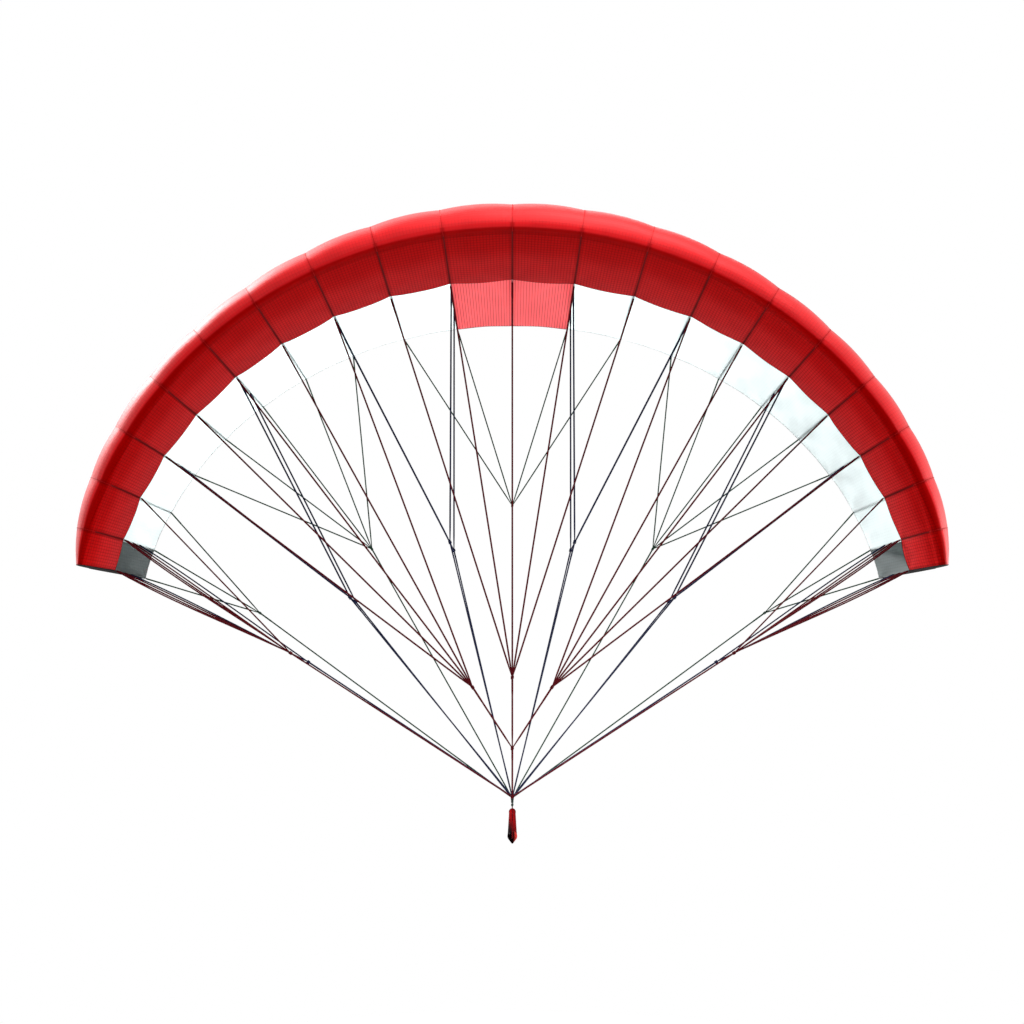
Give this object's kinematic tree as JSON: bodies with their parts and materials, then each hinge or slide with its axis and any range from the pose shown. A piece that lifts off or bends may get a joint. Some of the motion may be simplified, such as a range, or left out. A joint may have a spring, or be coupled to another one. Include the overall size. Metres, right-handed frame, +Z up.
{
  "type": "parawing",
  "caption": "Single-skin arched kite wing in flight, with a rounded closed nose, upright ribs, branching lines and a short hand bar.",
  "frame": {"origin": "middle of the bar's grip, where the hands hold the wing", "axes": "+X to the right tip, +Y from the nose to the trailing edge, +Z up from the bar to the canopy"},
  "size_m": [3.182, 1.0608, 2.2789],
  "materials": {
    "red_cloth": "thin coated ripstop, satin",
    "light_red_cloth": "thin uncoated ripstop, sheer",
    "white_cloth": "thin ripstop, sheer",
    "grey_cloth": "thin ripstop, satin",
    "rib_cloth": "firm ripstop, matt",
    "red_line": "braided line",
    "blue_line": "braided line",
    "green_line": "braided line",
    "leader_cord": "braided cord",
    "grip_foam": "smooth foam grip, satin",
    "cap_plastic": "moulded, satin"
  },
  "bodies": {
    "root": {"nose_panel_l10": "red_cloth", "nose_panel_l09": "red_cloth", "nose_panel_l08": "red_cloth", "nose_panel_l07": "red_cloth", "nose_panel_l06": "red_cloth", "nose_panel_l05": "red_cloth", "nose_panel_l04": "red_cloth", "nose_panel_l03": "red_cloth", "nose_panel_l02": "red_cloth", "nose_panel_l01": "red_cloth", "nose_panel_r01": "red_cloth", "nose_panel_r02": "red_cloth", "nose_panel_r03": "red_cloth", "nose_panel_r04": "red_cloth", "nose_panel_r05": "red_cloth", "nose_panel_r06": "red_cloth", "nose_panel_r07": "red_cloth", "nose_panel_r08": "red_cloth", "nose_panel_r09": "red_cloth", "nose_panel_r10": "red_cloth", "aft_tip_l": "grey_cloth", "aft_white_l": "white_cloth", "aft_centre": "light_red_cloth", "aft_white_r": "white_cloth", "aft_tip_r": "grey_cloth", "rib_l10": "grey_cloth", "rib_l09": "rib_cloth", "rib_l08": "rib_cloth", "rib_l07": "rib_cloth", "rib_l06": "rib_cloth", "rib_l05": "rib_cloth", "rib_l04": "rib_cloth", "rib_l03": "rib_cloth", "rib_l02": "rib_cloth", "rib_l01": "rib_cloth", "rib_c": "rib_cloth", "rib_r01": "rib_cloth", "rib_r02": "rib_cloth", "rib_r03": "rib_cloth", "rib_r04": "rib_cloth", "rib_r05": "rib_cloth", "rib_r06": "rib_cloth", "rib_r07": "rib_cloth", "rib_r08": "rib_cloth", "rib_r09": "rib_cloth", "rib_r10": "grey_cloth", "lines_a": "red_line", "lines_b": "blue_line", "lines_c": "blue_line", "lines_brake": "green_line", "bar_grip": "grip_foam", "bar_cap_front": "cap_plastic", "bar_cap_rear": "cap_plastic", "leader_front": "red_line", "leader_rear": "leader_cord"}
  },
  "joints": []
}
